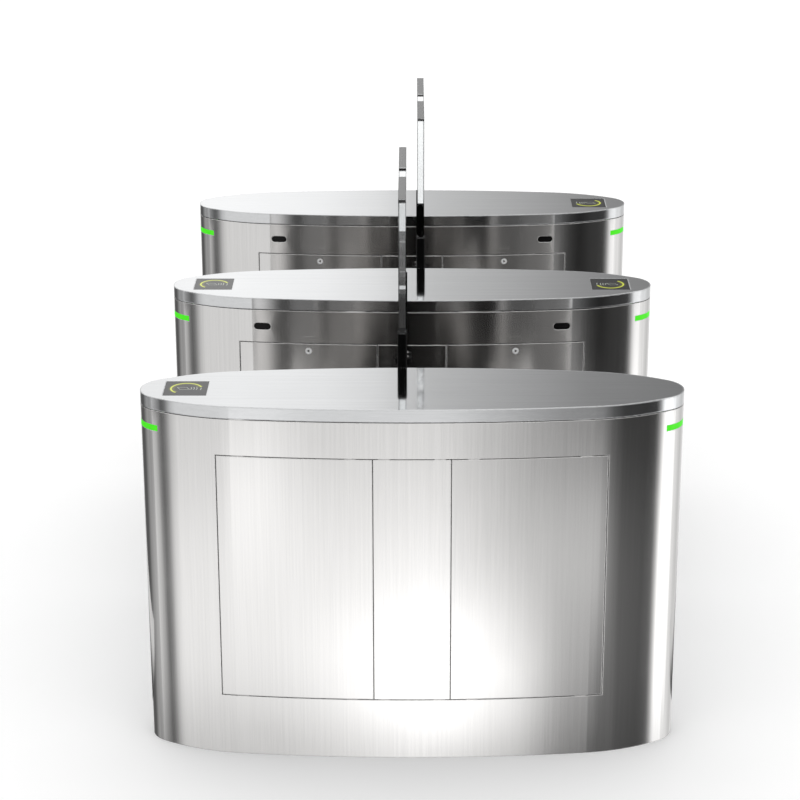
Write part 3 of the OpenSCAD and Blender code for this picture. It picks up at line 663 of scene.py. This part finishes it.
# What a lane face mirrors by way of the pedestal across the lane
LANE_BANDS = [(0.0, 0.95), (0.03, 0.85), (0.07, 0.42), (0.1, 0.2), (0.135, 0.1), (0.18, 0.1),
              (0.21, 0.15), (0.25, 0.22), (0.28, 0.24), (0.35, 0.2), (0.5, 0.12), (0.65, 0.11),
              (0.75, 0.13), (0.85, 0.19), (0.95, 0.21), (1.0, 0.3)]
# What polished steel mirrors above the horizon, with left and right changed over in front of the set
HIGH_BANDS = [(0.0, 0.3), (0.15, 0.5), (0.35, 0.84), (0.46, 1.03), (0.48, 0.95), (0.493, 0.8),
              (0.502, 0.58), (0.52, 0.44), (0.54, 0.28), (0.57, 0.2), (0.7, 0.35), (0.85, 0.7), (1.0, 0.3)]

# Soft patches of light on the low bands, by bearing and by drop under the horizon
LEFT_PATCH = {"middle": -0.28, "width": 0.075, "depth": 0.37, "height": 0.03, "strength": 0.3}
POOL = {"middle": 0.055, "width": 0.187, "depth": 0.452, "height": 0.027, "strength": 1.1}
POOL_FOOT = (0.458, 0.476, 0.0, 0.75)
# Dark veils over the low bands: the drops between which each grows, its strength, and the bearings
# between which it starts and ends
FAR_RIGHT = {"drops": (0.337, 0.326), "strength": 0.62, "start": (0.25, 0.4), "end": (0.6, 0.8)}
UPPER = {"drops": (0.405, 0.35), "strength": 0.26}
UPPER_RIGHT = {"drops": (0.4, 0.345), "strength": 0.45, "start": (0.14, 0.31)}
LOWER_RIGHT = {"drops": (0.39, 0.46), "strength": 0.74, "start": (0.18, 0.28), "end": (0.4, 0.6)}
FOOT = {"drops": (0.44, 0.474), "strength": 0.42}
# At the far right the two upper veils give way, by half near the horizon and wholly past these drops
STREAK_SIDE, STREAK_DROPS, STREAK_HALF = (0.86, 0.93), (0.33, 0.342), 0.5
# Soft borders between the parts of the set: the front and the back, the low and the high bands, and
# the high bands and the zenith
FRONT_TO_BACK = (-0.03, 0.03)
LOW_TO_HIGH = (-0.05, 0.08)
HIGH_TO_ZENITH, ZENITH = (0.37, 0.55), 1.05
HIGH_DIP = (0.3, 0.33, 1.0, 0.92)
# How much the low bands lose from the third mirroring on, and the whole set after a matt surface
THIRD_LOSS, MATT_LOSS = 0.55, 0.95
# How strong the mirrored set is, and matt pieces' light at the horizon and its rise to the zenith
MIRRORED_STRENGTH = 1.2
PLAIN_LOW, PLAIN_RISE = 0.25, 1.125
NEARLY_ZERO = 0.0001


def make_world():
    """Plain light for matt pieces, the banded set in polished ones, and white past and through the bank."""
    world = bpy.data.worlds.new("studio")
    bpy.context.scene.world = world
    world.use_nodes = True
    tree = Tree(world.node_tree)
    x, y, z = tree.axes(tree.add("TexCoord", None, "Generated"))
    ray = tree.add("LightPath").socket.node
    bearing = x / far(x, y).most(NEARLY_ZERO)
    drop = 0.0 - z

    def path(name):
        return Wire(tree, ray.outputs[name])

    def bands(side, stops):
        return tree.ramp(side * 0.5 + 0.5, stops)

    def patch(middle, width, depth, height, strength):
        a, b = (bearing - middle) / width, (drop - depth) / height
        return (0.0 - (a * a + b * b)).math("EXPONENT") * strength

    def veil(drops, strength, start=None, end=None):
        cover = drop.spread(*drops, 0.0, strength)
        if start:
            cover = cover * bearing.spread(*start)
        if end:
            cover = cover * (1.0 - bearing.spread(*end))
        return cover

    streak = 1.0 - bearing.spread(*STREAK_SIDE) * (drop.spread(*STREAK_DROPS) * STREAK_HALF + STREAK_HALF)
    low = bands(bearing, LOW_BANDS)
    for cover in (veil(**FAR_RIGHT), veil(**UPPER) * streak, veil(**UPPER_RIGHT) * streak,
                  veil(**LOWER_RIGHT), veil(**FOOT)):
        low = low * (1.0 - cover)
    low = low + patch(**LEFT_PATCH) + patch(**POOL) * (1.0 - drop.spread(*POOL_FOOT))

    # From the second mirroring on the back shows the lane's bands, and from the third the front is dimmer
    bounces = path("Glossy Depth")
    back = tree.blend(bounces.above(1.5), bands(bearing, BACK_BANDS), bands(bearing, LANE_BANDS))
    low = low * (1.0 - bounces.above(2.5) * THIRD_LOSS)
    low = tree.blend(y.spread(*FRONT_TO_BACK), low, back)
    high = bands(bearing * (y.above(0.0) * 2.0 - 1.0), HIGH_BANDS) * z.spread(*HIGH_DIP)
    mirrored = tree.blend(z.spread(*LOW_TO_HIGH), low, high)
    mirrored = tree.blend(z.spread(*HIGH_TO_ZENITH), mirrored, shade(ZENITH))

    matt = path("Diffuse Depth").above(0.5)
    shown = path("Is Camera Ray").most(path("Is Transmission Ray"))
    plain = tree.add("Background", None, 0, [shade(1.0), z.most(0.0) * PLAIN_RISE + PLAIN_LOW])
    steel = tree.add("Background", None, 0, [mirrored, (1.0 - matt * MATT_LOSS) * MIRRORED_STRENGTH])
    white = tree.add("Background", None, 0, [shade(1.0), 1.0])
    lit = tree.add("MixShader", None, 0, [path("Is Glossy Ray"), plain, steel])
    tree.end("OutputWorld", tree.add("MixShader", None, 0, [shown, lit, white]))


make_world()


bpy.context.scene.view_settings.view_transform = "Standard"
